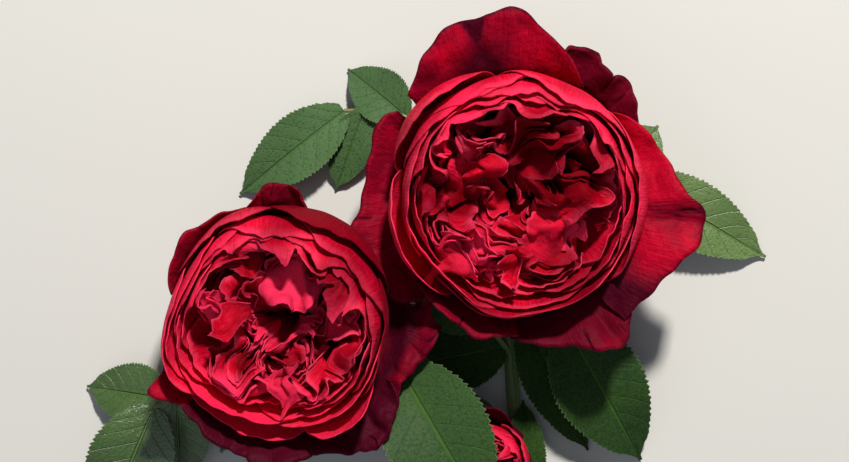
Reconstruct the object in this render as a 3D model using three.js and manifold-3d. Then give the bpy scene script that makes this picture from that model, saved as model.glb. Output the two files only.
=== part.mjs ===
import * as THREE from "three";
import { mergeVertices } from "three/addons/utils/BufferGeometryUtils.js";
import Module from "manifold-3d";

const wasm = await Module();
wasm.setup();

// A rose spray cut from its bush and laid on its back. Millimetres, +Z up, floor at z = 0.
// The stem runs along +Y, the three blooms face up, and the leaves spread round them.

// Clearances and thicknesses
const SEAT_GAP = 0.3;
const PETAL_THICKNESS = 1.3;
const LEAFLET_THICKNESS = 0.8;
const SEPAL_THICKNESS = 0.9;

// The middle of the spray's outline, which becomes the origin
const MIDDLE_X = 0.9;
const MIDDLE_Y = -37.2;

// Stems: the bends of the centre line, the bloom at the tip, and the radius at foot and tip
const STEM_SIDES = 8;
const NECK_LENGTH = 2.5;
const STEMS = {
  main_stem: {
    route: [
      [40, -148, 2.8], [40, -136, 2.8], [37, -105, 2.7], [32.5, -72, 2.6], [30, -40, 2.4],
      [29.8, -12, 2.3], [30, 5, 2.9], [30.3, 13.5, 5],
    ],
    carries: "right", foot: 2.8, tip: 1.9, steps: 26,
  },
  side_stem_left: {
    route: [
      [33.5, -78, 2.6], [20, -61, 2.4], [0, -54, 2.2], [-22, -50, 2.1], [-34, -41, 2.4], [-37.2, -31, 4.6],
    ],
    carries: "left", foot: 2.1, tip: 1.8, steps: 20,
  },
  side_stem_low: {
    route: [[39, -124, 2.8], [35, -112, 2.2], [29, -99, 2.2]],
    carries: "low", foot: 1.7, tip: 1.4, steps: 10,
  },
};

// Blooms: where the rim's middle is, which way the cup faces, and the cup's own sizes.
// A guard petal stands outside the cup: where it points, how far it reaches from the axis,
// its half width, the height of its tip, how pointed it is, and how far the point is aside.
const CLAW_RADIUS = 3;
const BLOOMS = {
  right: {
    rim: [30.5, 11.5, 66], faces: [0, -0.12, 1], depth: 46, radius: 40,
    hip: { radius: 4.6, length: 8, sepal: 21, droop: 4 },
    whorls: [
      { petals: 5, first: 118, spread: 1, height: 1, curl: 108, halfSpan: 47 },
      { petals: 4, first: 75, spread: 0.9, height: 0.99, curl: 104, halfSpan: 54 },
    ],
    guards: [
      { toward: 97, reach: 61.5, halfWidth: 28, tip: 36, point: 1.4, skew: -0.12 },
      { toward: 49, reach: 50, halfWidth: 19, tip: 27, point: 2, skew: -0.15 },
      { toward: -10, reach: 60, halfWidth: 33, tip: 33, point: 1.7, skew: 0.1 },
      { toward: -55, reach: 57, halfWidth: 23, tip: 27, point: 2, skew: 0.1 },
      { toward: -108, reach: 48, halfWidth: 19, tip: 29, point: 2, skew: 0 },
      { toward: 186, reach: 56, halfWidth: 28, tip: 20, point: 2, skew: 0.2 },
    ],
    heart: { rings: [[0.74, 5], [0.5, 4], [0.24, 3]], floor: 0.5, top: 0.88, start: 20, turn: 3.2 },
  },
  left: {
    rim: [-48.5, -31, 62], faces: [-0.2, -0.1, 0.97], depth: 43, radius: 36.5,
    hip: { radius: 4.4, length: 8, sepal: 20, droop: 4 },
    whorls: [
      { petals: 5, first: 40, spread: 1, height: 1, curl: 107, halfSpan: 47 },
      { petals: 4, first: 85, spread: 0.89, height: 0.98, curl: 104, halfSpan: 54 },
    ],
    guards: [
      { toward: 92, reach: 43, halfWidth: 14, tip: 31, point: 1.3, skew: 0 },
      { toward: 148, reach: 40, halfWidth: 17, tip: 28, point: 2, skew: 0 },
      { toward: 209, reach: 50, halfWidth: 16, tip: 28, point: 1.4, skew: 0.1 },
      { toward: -95, reach: 51, halfWidth: 24, tip: 28, point: 2.2, skew: 0 },
      { toward: -46, reach: 49, halfWidth: 18, tip: 27, point: 1.8, skew: 0 },
      { toward: -6, reach: 49, halfWidth: 19, tip: 21, point: 1.9, skew: 0 },
    ],
    heart: { rings: [[0.74, 5], [0.5, 4], [0.24, 3]], floor: 0.5, top: 0.9, start: 65, turn: -3 },
  },
  low: {
    rim: [17, -80, 31.5], faces: [-0.2, 0.2, 0.96], depth: 20, radius: 18,
    hip: { radius: 3.4, length: 6, sepal: 9, droop: 0.4 },
    whorls: [
      { petals: 4, first: 20, spread: 1, height: 1, curl: 106, halfSpan: 58 },
    ],
    guards: [
      { toward: -20, reach: 22, halfWidth: 12, tip: 14, point: 2, skew: 0 },
      { toward: 215, reach: 22, halfWidth: 12, tip: 13, point: 2, skew: 0 },
      { toward: 110, reach: 20, halfWidth: 11, tip: 13, point: 2, skew: 0 },
    ],
    heart: { rings: [[0.6, 3], [0.25, 2]], floor: 0.5, top: 0.9, start: 0, turn: 1.2 },
  },
};

// Leaves: the stem and station that carry each, the stalk's heading, turn, length and heights,
// and its leaflets by station, heading, length, half width and the height of the tip.
const STALK_RADIUS = 0.9;
const LEAVES = {
  leaf_lower_left: {
    on: "side_stem_left", station: 0.71, heading: 181, turn: 22, stalk: 68, end: 13, hump: 3,
    leaflets: [
      { station: 1, heading: 247, length: 50, halfWidth: 15, tip: 0.6, arch: 5 },
      { station: 0.9, heading: 173, length: 32, halfWidth: 11, tip: 1, arch: 1 },
      { station: 0.88, heading: 270, length: 32, halfWidth: 11, tip: 0.6, arch: 1 },
      { station: 0.5, heading: 140, length: 28, halfWidth: 11, tip: 2, arch: 2 },
      { station: 0.48, heading: 246, length: 30, halfWidth: 11, tip: 2, arch: 2 },
    ],
  },
  leaf_lower_middle: {
    on: "side_stem_left", station: 0.54, heading: 100, turn: -50, stalk: 8, end: 28, hump: 0,
    leaflets: [
      { station: 1, heading: 301, length: 60, halfWidth: 18, tip: 37, arch: 7 },
    ],
  },
  leaf_lower_right: {
    on: "main_stem", station: 0.68, heading: 25, turn: -50, stalk: 19, end: 17, hump: 1,
    leaflets: [
      { station: 1, heading: -60, length: 56, halfWidth: 16, tip: 0.6, arch: 6 },
      { station: 0.3, heading: -64, length: 52, halfWidth: 11, tip: 0.6, arch: 5 },
      { station: 0.7, heading: 50, length: 30, halfWidth: 11, tip: 4, arch: 1 },
    ],
  },
  leaf_shaded: {
    on: "main_stem", station: 0.61, heading: 118, turn: 20, stalk: 15, end: 12, hump: 1,
    leaflets: [
      { station: 1, heading: 144, length: 34, halfWidth: 11, tip: 13, arch: 3 },
      { station: 0.3, heading: 191, length: 36, halfWidth: 12, tip: 5.4, arch: 0 },
    ],
  },
  leaf_foot: {
    on: "main_stem", station: 0.24, heading: 94, turn: 0, stalk: 16, end: 7, hump: 1,
    leaflets: [
      { station: 1, heading: 93, length: 32, halfWidth: 7, tip: 6.1, arch: 0 },
      { station: 0.8, heading: -8, length: 30, halfWidth: 10, tip: 0.6, arch: 3 },
    ],
  },
  leaf_upper_left: {
    on: "main_stem", station: 0.83, heading: 94, turn: 92, stalk: 84, end: 8, hump: 3,
    leaflets: [
      { station: 1, heading: 218, length: 47, halfWidth: 11, tip: 0.6, arch: 4 },
      { station: 0.92, heading: 250, length: 29, halfWidth: 8, tip: 1, arch: 1 },
      { station: 0.74, heading: 140, length: 27, halfWidth: 9.5, tip: 0.6, arch: 3 },
      { station: 0.6, heading: 78, length: 20, halfWidth: 8.5, tip: 0.6, arch: 3 },
    ],
  },
  leaf_right: {
    on: "main_stem", station: 0.77, heading: 69, turn: -60, stalk: 57, end: 11, hump: 0,
    leaflets: [
      { station: 1, heading: -29, length: 55, halfWidth: 12, tip: 0.6, arch: 3 },
      { station: 0.88, heading: -26, length: 30, halfWidth: 11, tip: 1, arch: 1 },
      { station: 0.86, heading: 50, length: 28, halfWidth: 11, tip: 0.6, arch: 2 },
    ],
  },
};

// Finishes
const finish = (color, roughness) => new THREE.MeshStandardMaterial({ color, roughness, metalness: 0 });
const petalRed = () => finish(0xb00f2b, 0.6);
const leafGreen = () => finish(0x2f5425, 0.45);
const stemGreen = () => finish(0x55702f, 0.6);

const radians = THREE.MathUtils.degToRad;
const smooth = THREE.MathUtils.smoothstep;

// A closed body from corner positions and triangles
function closedBody(corners, triangles) {
  const geometry = new THREE.BufferGeometry();
  geometry.setAttribute("position", new THREE.Float32BufferAttribute(corners.flatMap((p) => p.toArray()), 3));
  geometry.setIndex(triangles.flat());
  return geometry;
}

// A thin closed blade round the sheet that pointAt gives over across -1 to 1 and along 0 to 1
function blade(pointAt, columns, rows, thickness) {
  const sheet = [];
  for (let row = 0; row <= rows; row++) {
    for (let column = 0; column <= columns; column++) {
      sheet.push(pointAt((2 * column) / columns - 1, row / rows));
    }
  }
  const index = (column, row) => row * (columns + 1) + column;
  const front = [];
  const back = [];
  for (let row = 0; row <= rows; row++) {
    for (let column = 0; column <= columns; column++) {
      const across = sheet[index(Math.min(column + 1, columns), row)].clone()
        .sub(sheet[index(Math.max(column - 1, 0), row)]);
      const along = sheet[index(column, Math.min(row + 1, rows))].clone()
        .sub(sheet[index(column, Math.max(row - 1, 0))]);
      const lift = across.cross(along).normalize().multiplyScalar(thickness / 2);
      front.push(sheet[index(column, row)].clone().add(lift));
      back.push(sheet[index(column, row)].clone().sub(lift));
    }
  }
  const behind = front.length;
  const triangles = [];
  for (let row = 0; row < rows; row++) {
    for (let column = 0; column < columns; column++) {
      const [a, b] = [index(column, row), index(column + 1, row)];
      const [c, d] = [index(column, row + 1), index(column + 1, row + 1)];
      triangles.push([a, b, d], [a, d, c]);
      triangles.push([behind + a, behind + d, behind + b], [behind + a, behind + c, behind + d]);
    }
  }
  const rim = [];
  for (let column = 0; column < columns; column++) rim.push(index(column, 0));
  for (let row = 0; row < rows; row++) rim.push(index(columns, row));
  for (let column = columns; column > 0; column--) rim.push(index(column, rows));
  for (let row = rows; row > 0; row--) rim.push(index(0, row));
  rim.forEach((here, place) => {
    const next = rim[(place + 1) % rim.length];
    triangles.push([here, behind + here, behind + next], [here, behind + next, next]);
  });
  return closedBody([...front, ...back], triangles);
}

// A tapering limb along a curve, with flat ends
function limb(curve, foot, tip, sides, steps) {
  const frames = curve.computeFrenetFrames(steps, false);
  const corners = [];
  for (let step = 0; step <= steps; step++) {
    const radius = THREE.MathUtils.lerp(foot, tip, step / steps);
    const middle = curve.getPointAt(step / steps);
    for (let side = 0; side < sides; side++) {
      const angle = (2 * Math.PI * side) / sides;
      corners.push(middle.clone()
        .addScaledVector(frames.normals[step], radius * Math.cos(angle))
        .addScaledVector(frames.binormals[step], radius * Math.sin(angle)));
    }
  }
  const triangles = [];
  for (let step = 0; step < steps; step++) {
    for (let side = 0; side < sides; side++) {
      const [a, b] = [step * sides + side, step * sides + ((side + 1) % sides)];
      triangles.push([a, b, b + sides], [a, b + sides, a + sides]);
    }
  }
  const last = steps * sides;
  for (let side = 1; side < sides - 1; side++) {
    triangles.push([0, side + 1, side], [last, last + side, last + side + 1]);
  }
  return closedBody(corners, triangles);
}

// Joining and cutting
function toSolid(geometry) {
  const bare = geometry.clone();
  bare.deleteAttribute("normal");
  bare.deleteAttribute("uv");
  const merged = mergeVertices(bare, 1e-4);
  return new wasm.Manifold(new wasm.Mesh({
    numProp: 3,
    vertProperties: Float32Array.from(merged.attributes.position.array),
    triVerts: Uint32Array.from(merged.index.array),
  }));
}

const join = (geometries) => geometries.map(toSolid).reduce((whole, piece) => whole.add(piece));

// The largest closed shell of a solid: loose scraps and sealed pockets are left behind
function toGeometry(solid) {
  const shells = solid.decompose();
  const largest = shells.reduce((best, shell) => (shell.volume() > best.volume() ? shell : best));
  const mesh = largest.getMesh();
  const geometry = new THREE.BufferGeometry();
  geometry.setAttribute("position", new THREE.BufferAttribute(mesh.vertProperties, 3));
  geometry.setIndex(new THREE.BufferAttribute(mesh.triVerts, 1));
  return geometry;
}

const vector = (place) => new THREE.Vector3(...place);
const spray = new THREE.Group();

function addNode(name, geometry, material, parent = spray) {
  const mesh = new THREE.Mesh(geometry, material);
  mesh.name = name;
  parent.add(mesh);
  return mesh;
}

// A bloom's axis, and the seat of its claws on it
function stance(bloom) {
  const axis = vector(bloom.faces).normalize();
  return { axis, seat: vector(bloom.rim).addScaledVector(axis, -bloom.depth) };
}

// Stems: each ends square on the foot of its hip, and side stems are cut back at the main stem
const PETAL_FOOT = PETAL_THICKNESS / 2;
const stemCurves = {};
for (const [name, stem] of Object.entries(STEMS)) {
  const bloom = BLOOMS[stem.carries];
  const { axis, seat } = stance(bloom);
  const end = seat.clone().addScaledVector(axis, -PETAL_FOOT - SEAT_GAP - bloom.hip.length - SEAT_GAP);
  const neck = end.clone().addScaledVector(axis, -NECK_LENGTH);
  stemCurves[name] = new THREE.CatmullRomCurve3([...stem.route.map(vector), neck, end]);
}

const stemBody = (name, extra) => {
  const stem = STEMS[name];
  return limb(stemCurves[name], stem.foot + extra, stem.tip + extra, STEM_SIDES, stem.steps);
};

for (const name of Object.keys(STEMS)) {
  const body = stemBody(name, 0);
  if (name === "main_stem") {
    addNode(name, body, stemGreen());
  } else {
    addNode(name, toGeometry(toSolid(body).subtract(toSolid(stemBody("main_stem", SEAT_GAP)))), stemGreen());
  }
}

// Petals that make the cup: an arc from the claw out and up to a rim that turns in
function cupPetal(bloom, whorl, toward) {
  const curl = radians(whorl.curl);
  return (across, along) => {
    const way = along * (1 - 0.13 * Math.abs(across) ** 2.4);
    const share = 0.42 + 0.58 * Math.sin(Math.min(1, way / 0.6) * (Math.PI / 2));
    const turn = radians(toward + across * whorl.halfSpan * share);
    // Each petal's leading edge lies over its neighbour's
    const lap = 1 + 0.03 * across;
    const wall = CLAW_RADIUS + (bloom.radius * whorl.spread * lap - CLAW_RADIUS) * Math.sin(way * curl);
    const height = (bloom.depth * whorl.height * (1 - Math.cos(way * curl))) / (1 - Math.cos(curl));
    return new THREE.Vector3(wall * Math.cos(turn), wall * Math.sin(turn), height);
  };
}

// Guard petals: up the outside of the cup, then out and over
function guardPetal(bloom, guard) {
  const toward = radians(guard.toward);
  const shoulder = 0.45;
  return (across, along) => {
    const way = along * (1 - 0.3 * Math.abs(across - guard.skew) ** guard.point);
    const climb = Math.min(1, way / shoulder);
    const spread = smooth(way, shoulder * 0.6, 1);
    const inner = CLAW_RADIUS + (bloom.radius * 1.03 - CLAW_RADIUS) * Math.sin(climb * (Math.PI / 2));
    const radius = inner + (guard.reach - bloom.radius * 1.03) * smooth(way, shoulder * 0.8, 1);
    const low = guard.tip * 0.62 * (1 - Math.cos(climb * (Math.PI / 2)));
    const height = low + guard.tip * 0.38 * spread;
    const width = guard.halfWidth * (0.3 + 0.7 * Math.sin(Math.min(1, way / 0.7) * (Math.PI / 2)));
    const turn = toward + (across * width) / Math.max(radius, guard.halfWidth * 0.8);
    return new THREE.Vector3(radius * Math.cos(turn), radius * Math.sin(turn), height);
  };
}

// Heart petals: short arcs that stand in the filled middle, muddled by a gentle swirl
function swirl(point, bloom, strength) {
  const reach = bloom.radius * 0.5;
  let [x, y] = [point.x, point.y];
  for (let corner = 0; corner < 5; corner++) {
    const angle = radians(bloom.heart.start + corner * 72);
    const away = [x - reach * Math.cos(angle), y - reach * Math.sin(angle)];
    const near = Math.exp(-(away[0] ** 2 + away[1] ** 2) / (reach * reach * 0.5));
    const push = ((corner % 2 ? -1 : 1) * strength * near) / reach;
    x -= away[1] * push;
    y += away[0] * push;
  }
  return new THREE.Vector3(x, y, point.z);
}

function heartPetal(bloom, ring, count, place) {
  const radius = bloom.radius * ring;
  const toward = radians(bloom.heart.start + (360 / count) * (place + ring));
  const halfSpan = (Math.PI / count) * 0.92;
  return (across, along) => {
    const top = bloom.heart.top - 0.1 * (1 - ring) - 0.06 * across * across;
    const height = bloom.depth * THREE.MathUtils.lerp(bloom.heart.floor, top, along);
    const turn = toward + across * halfSpan;
    const wall = radius * (0.9 + 0.14 * along) * (1 + 0.07 * across);
    const plain = new THREE.Vector3(wall * Math.cos(turn), wall * Math.sin(turn), height);
    return swirl(plain, bloom, bloom.heart.turn * along);
  };
}

// The packed middle of a bloom, which the heart petals stand out of
function heartCore(bloom) {
  const profile = [
    [0, -0.015], [0.12, -0.015], [0.5, 0.1], [0.8, 0.3], [0.84, 0.52], [0.6, 0.6], [0, 0.56],
  ];
  return new THREE.LatheGeometry(
    profile.map(([out, up]) => new THREE.Vector2(out * bloom.radius, up * bloom.depth)), 14,
  ).rotateX(Math.PI / 2);
}

function bloomSolid(bloom) {
  const pieces = [heartCore(bloom)];
  for (const whorl of bloom.whorls) {
    for (let place = 0; place < whorl.petals; place++) {
      const toward = whorl.first + (360 / whorl.petals) * place;
      pieces.push(blade(cupPetal(bloom, whorl, toward), 4, 4, PETAL_THICKNESS));
    }
  }
  for (const guard of bloom.guards) {
    pieces.push(blade(guardPetal(bloom, guard), 4, 4, PETAL_THICKNESS));
  }
  for (const [ring, count] of bloom.heart.rings) {
    for (let place = 0; place < count; place++) {
      pieces.push(blade(heartPetal(bloom, ring, count, place), 4, 1, PETAL_THICKNESS));
    }
  }
  return join(pieces);
}

// The hip and its five turned-back sepals, below the bloom
function hipSolid(hip) {
  const rows = [[0, -hip.length], [0.42, -hip.length], [1, -hip.length * 0.55], [0.92, 0], [0, 0]];
  const body = new THREE.LatheGeometry(
    rows.map(([out, up]) => new THREE.Vector2(out * hip.radius, up)), 10,
  ).rotateX(Math.PI / 2);
  const pieces = [body];
  for (let place = 0; place < 5; place++) {
    const toward = radians(36 + 72 * place);
    pieces.push(blade((across, along) => {
      const out = hip.radius * 0.5 + hip.sepal * along;
      const side = across * hip.radius * (0.75 - 0.6 * along);
      const height = -1.1 - hip.droop * along * along;
      return new THREE.Vector3(
        out * Math.cos(toward) - side * Math.sin(toward),
        out * Math.sin(toward) + side * Math.cos(toward), height,
      );
    }, 1, 3, SEPAL_THICKNESS));
  }
  return join(pieces);
}

// Each bloom stands in a group at its seat, turned to face its own way
for (const [name, bloom] of Object.entries(BLOOMS)) {
  const { axis, seat } = stance(bloom);
  const head = new THREE.Group();
  head.position.copy(seat);
  head.quaternion.setFromUnitVectors(new THREE.Vector3(0, 0, 1), axis);
  spray.add(head);
  addNode(`bloom_${name}`, toGeometry(bloomSolid(bloom)), petalRed(), head);
  const calyx = addNode(`calyx_${name}`, toGeometry(hipSolid(bloom.hip)), stemGreen(), head);
  calyx.position.z = -PETAL_FOOT - SEAT_GAP;
}

// A leaflet: a blade folded a little along its midrib and arched over to its tip
function leaflet(base, spec) {
  const heading = radians(spec.heading);
  const out = new THREE.Vector3(Math.cos(heading), Math.sin(heading), 0);
  const side = new THREE.Vector3(-Math.sin(heading), Math.cos(heading), 0);
  return (across, along) => {
    const shape = Math.sin(Math.PI * Math.min(0.97, 0.04 + 0.96 * along) ** 0.85) ** 0.8;
    const width = spec.halfWidth * Math.max(0.07, shape);
    const point = base.clone()
      .addScaledVector(out, spec.length * along)
      .addScaledVector(side, across * width);
    point.z = THREE.MathUtils.lerp(base.z, spec.tip, along) + spec.arch * Math.sin(Math.PI * along);
    point.z += 0.22 * Math.abs(across) * width;
    return point;
  };
}

function leafSolid(leaf) {
  const root = stemCurves[leaf.on].getPointAt(leaf.station);
  const points = [root];
  const stretches = 6;
  for (let step = 1; step <= stretches; step++) {
    const heading = radians(leaf.heading + (leaf.turn * (step - 0.5)) / stretches);
    const next = points[step - 1].clone();
    next.x += (leaf.stalk / stretches) * Math.cos(heading);
    next.y += (leaf.stalk / stretches) * Math.sin(heading);
    const way = step / stretches;
    next.z = THREE.MathUtils.lerp(root.z, leaf.end, way) + leaf.hump * 4 * way * (1 - way);
    points.push(next);
  }
  const stalk = new THREE.CatmullRomCurve3(points);
  const pieces = [limb(stalk, STALK_RADIUS * 1.25, STALK_RADIUS * 0.8, 5, stretches)];
  for (const spec of leaf.leaflets) {
    const base = stalk.getPointAt(spec.station);
    pieces.push(blade(leaflet(base, spec), 2, 7, LEAFLET_THICKNESS));
  }
  return join(pieces);
}

for (const [name, leaf] of Object.entries(LEAVES)) {
  const carrier = toSolid(stemBody(leaf.on, SEAT_GAP));
  addNode(name, toGeometry(leafSolid(leaf).subtract(carrier)), leafGreen());
}

spray.position.set(-MIDDLE_X, -MIDDLE_Y, 0);
const rose_spray = new THREE.Group();
rose_spray.add(spray);

export default rose_spray;
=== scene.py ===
import math

import bpy
import numpy as np
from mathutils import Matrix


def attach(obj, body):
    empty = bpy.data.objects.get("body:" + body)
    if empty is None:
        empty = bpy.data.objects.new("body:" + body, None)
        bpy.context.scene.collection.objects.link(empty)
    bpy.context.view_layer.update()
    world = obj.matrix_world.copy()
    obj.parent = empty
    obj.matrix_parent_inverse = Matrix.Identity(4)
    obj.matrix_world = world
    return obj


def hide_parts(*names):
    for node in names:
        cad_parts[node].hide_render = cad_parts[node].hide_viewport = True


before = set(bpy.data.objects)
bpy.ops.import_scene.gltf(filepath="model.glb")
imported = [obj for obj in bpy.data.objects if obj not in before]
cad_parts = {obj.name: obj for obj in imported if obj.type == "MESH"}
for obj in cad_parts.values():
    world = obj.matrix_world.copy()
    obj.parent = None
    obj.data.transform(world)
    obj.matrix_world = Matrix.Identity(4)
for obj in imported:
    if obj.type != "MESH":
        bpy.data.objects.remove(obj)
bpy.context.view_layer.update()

root = "root"
bpy.ops.object.select_all(action="DESELECT")

# Camera, floor and light
# The spray lies on its back, so the camera hangs above it and looks straight down. A pale
# board lies under it, with a small key light beyond the top bloom and a large soft fill.
MM = 0.001
PICTURE_PX = 849
MM_PER_PX = 0.32
SENSOR_MM = 36
RIM_PLANE_Z = 64
CAMERA_ABOVE = 620
AIM_Z = 30
MIDDLE_X = 0.9
MIDDLE_Y = -37.2
FLOOR_SIZE = 6
FLOOR_DROP = 0.0006


def stage_place(x, y, z):
    """A place given from the middle of the picture, in millimetres, as metres in the part's frame."""
    return ((x - MIDDLE_X) * MM, (y - MIDDLE_Y) * MM, z * MM)


bpy.ops.object.camera_add(location=stage_place(0, 0, RIM_PLANE_Z + CAMERA_ABOVE), rotation=(0, 0, 0))
camera = bpy.context.object
camera.data.sensor_width = SENSOR_MM
camera.data.lens = SENSOR_MM * CAMERA_ABOVE / (PICTURE_PX * MM_PER_PX)
camera.data.clip_start = 0.01
bpy.context.scene.camera = camera

bpy.ops.mesh.primitive_plane_add(size=FLOOR_SIZE, location=(0, 0, -FLOOR_DROP))
floor = bpy.context.object
floor.name = "pale_floor"
floor_paint = bpy.data.materials.new("pale_floor")
floor_paint.use_nodes = True
floor_shader = floor_paint.node_tree.nodes["Principled BSDF"]
floor_shader.inputs["Base Color"].default_value = (0.55, 0.55, 0.53, 1)
floor_shader.inputs["Roughness"].default_value = 0.8
floor.data.materials.append(floor_paint)


def soft_light(name, place, size, power, colour):
    """An area light aimed at the blooms."""
    bpy.ops.object.light_add(type="AREA", location=stage_place(*place))
    light = bpy.context.object
    light.name = name
    light.data.size = size
    light.data.energy = power
    light.data.color = colour
    aim = np.array(stage_place(0, 0, AIM_Z)) - np.array(stage_place(*place))
    length = np.linalg.norm(aim)
    light.rotation_euler = (math.acos(-aim[2] / length), 0, math.atan2(aim[1], aim[0]) - math.pi / 2)


soft_light("key_light", (220, 890, 1216), 0.12, 34, (1, 0.95, 0.88))
soft_light("fill_light", (-500, -500, 1300), 1.6, 3.5, (0.86, 0.92, 1))
world = bpy.data.worlds.new("soft_room")
world.use_nodes = True
world.node_tree.nodes["Background"].inputs["Color"].default_value = (0.8, 0.87, 1, 1)
world.node_tree.nodes["Background"].inputs["Strength"].default_value = 0.16
bpy.context.scene.world = world
bpy.context.scene.view_settings.view_transform = "Standard"

# Stems
# Smooth green canes that carry a bloom each, cut square at the foot. They lie on the board,
# swell and narrow a little as they grew, then turn up behind each bloom.
CLAW_RADIUS = 3
PETAL_FOOT = 0.65
SEAT_GAP = 0.3
NECK_LENGTH = 2.5
SKIN_INSET = 0.1
SAMPLES = 24
TUBE_SIDES = 16
TUBE_STEPS = 60
TUBE_CREASE = 50
WELD_GAP = 0.01
CANE_SWELLS = ((0.12, 37, 0), (0.08, 71, 1))
BARK_PATCH_SCALE = 120
BARK_GRAIN_SCALE = 900
BLOOM_STANCE = {
    "right": {"rim": (30.5, 11.5, 66), "faces": (0, -0.12, 1), "depth": 46, "radius": 40,
              "hip": 4.6, "hip_length": 8, "sepal": 21, "droop": 4, "sag": (0, -2.2),
              "open_side": 248, "opened": 28},
    "left": {"rim": (-48.5, -31, 62), "faces": (-0.2, -0.1, 0.97), "depth": 43, "radius": 36.5,
             "hip": 4.4, "hip_length": 8, "sepal": 20, "droop": 4, "sag": (-2.7, -0.8),
             "open_side": 252, "opened": 40},
    "low": {"rim": (17, -80, 31.5), "faces": (-0.2, 0.2, 0.96), "depth": 20, "radius": 18,
            "hip": 3.4, "hip_length": 6, "sepal": 9, "droop": 0.4, "sag": (0, 0),
            "open_side": 0, "opened": 0},
}
STEMS = {
    "main_stem": {
        "route": [(40, -148, 2.8), (40, -136, 2.8), (37, -105, 2.7), (32.5, -72, 2.6), (30, -40, 2.4),
                  (29.8, -12, 2.3), (30, 5, 2.9), (30.3, 13.5, 5)],
        "carries": "right", "foot": 2.8, "tip": 1.9,
    },
    "side_stem_left": {
        "route": [(33.5, -78, 2.6), (20, -61, 2.4), (0, -54, 2.2), (-22, -50, 2.1), (-34, -41, 2.4),
                  (-37.2, -31, 4.6)],
        "carries": "left", "foot": 2.1, "tip": 1.8,
    },
    "side_stem_low": {
        "route": [(39, -124, 2.8), (35, -112, 2.2), (29, -99, 2.2)],
        "carries": "low", "foot": 1.7, "tip": 1.4,
    },
}


def smooth(value, low, high):
    """Rises gently from 0 at low to 1 at high."""
    share = np.clip((value - low) / (high - low), 0, 1)
    return share * share * (3 - 2 * share)


def ripples(value, phase, waves):
    """Sine waves over a value, added up, each with its strength, its rate and its share of the phase."""
    return sum(strength * np.sin(value * rate + phase * share) for strength, rate, share in waves)


def smooth_line(points):
    """A centripetal Catmull-Rom line through the points, as many close points."""
    points = np.array(points, float)
    ends = np.vstack([2 * points[0] - points[1], points, 2 * points[-1] - points[-2]])
    way = np.linspace(0, 1, SAMPLES, endpoint=False)[:, None]
    stretches = []
    for place in range(len(ends) - 3):
        before, start, stop, after = ends[place:place + 4]
        gap = np.sqrt(np.linalg.norm(np.diff(ends[place:place + 4], axis=0), axis=1))
        leave = (start - before) / gap[0] - (stop - before) / (gap[0] + gap[1]) + (stop - start) / gap[1]
        arrive = (stop - start) / gap[1] - (after - start) / (gap[1] + gap[2]) + (after - stop) / gap[2]
        stretches.append(
            start * (1 - 3 * way**2 + 2 * way**3) + stop * (3 * way**2 - 2 * way**3)
            + leave * gap[1] * (way - 2 * way**2 + way**3) + arrive * gap[1] * (way**3 - way**2)
        )
    return np.vstack([*stretches, points[-1:]])


def at_share(line, share):
    """The points of a line at shares of its length."""
    lengths = np.concatenate([[0], np.cumsum(np.linalg.norm(np.diff(line, axis=0), axis=1))])
    wanted = np.atleast_1d(share) * lengths[-1]
    return np.stack([np.interp(wanted, lengths, line[:, axis]) for axis in range(3)], axis=1)


def head_frame(stance):
    """The seat of a bloom's claws and the turn of its axes, in picture millimetres."""
    up = np.array(stance["faces"], float)
    up /= np.linalg.norm(up)
    seat = np.array(stance["rim"], float) - up * stance["depth"]
    cross = np.cross((0, 0, 1), up)
    skew = np.array([[0, -cross[2], cross[1]], [cross[2], 0, -cross[0]], [-cross[1], cross[0], 0]])
    return seat, np.eye(3) + skew + skew @ skew / (1 + up[2])


def from_bloom(points, stance):
    """Points given on a bloom's own axes, as picture millimetres."""
    return points @ stance["turn"].T + stance["seat"]


for stance in BLOOM_STANCE.values():
    stance["seat"], stance["turn"] = head_frame(stance)


def flat_blank(name, columns, rows):
    """A flat grid with its own unwrapped layout, to be copied and shaped."""
    bpy.ops.mesh.primitive_grid_add(x_subdivisions=columns, y_subdivisions=rows, size=2)
    blank = bpy.context.object
    blank.name = name
    return blank


def blank_grid(blank):
    """The across (-1 to 1) and along (0 to 1) values of a flat blank's points."""
    flat = np.empty(len(blank.data.vertices) * 3)
    blank.data.vertices.foreach_get("co", flat)
    return flat[0::3].copy(), (flat[1::3] + 1) / 2


def shaped_copy(blank, points, tint=0.5):
    """A copy of a blank, its points moved to places in picture millimetres, with its own tint."""
    mesh = blank.data.copy()
    placed = (points - (MIDDLE_X, MIDDLE_Y, 0)) * MM
    mesh.vertices.foreach_set("co", placed.ravel())
    mesh.update()
    shade = mesh.attributes.new("tint", "FLOAT", "POINT")
    shade.data.foreach_set("value", np.zeros(len(mesh.vertices)) + tint)
    piece = bpy.data.objects.new(blank.name, mesh)
    bpy.context.collection.objects.link(piece)
    return piece


def pick(pieces):
    """Selects the pieces alone, the first one active."""
    bpy.ops.object.select_all(action="DESELECT")
    for piece in pieces:
        piece.select_set(True)
    bpy.context.view_layer.objects.active = pieces[0]


def joined(pieces, name):
    """Joins the pieces into one of that name."""
    pick(pieces)
    bpy.ops.object.join()
    whole = bpy.context.object
    whole.name = name
    whole.data.name = name
    return whole


def finish_piece(piece, material, slot, *nodes):
    """Gives a finished piece its material and body, in place of its plain solids. The slot is not used."""
    piece.data.materials.append(material)
    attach(piece, root)
    if nodes:
        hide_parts(*nodes)


tube_blank = flat_blank("tube_blank", TUBE_SIDES, TUBE_STEPS)
tube_share = np.linspace(0, 1, TUBE_STEPS + 1)


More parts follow.
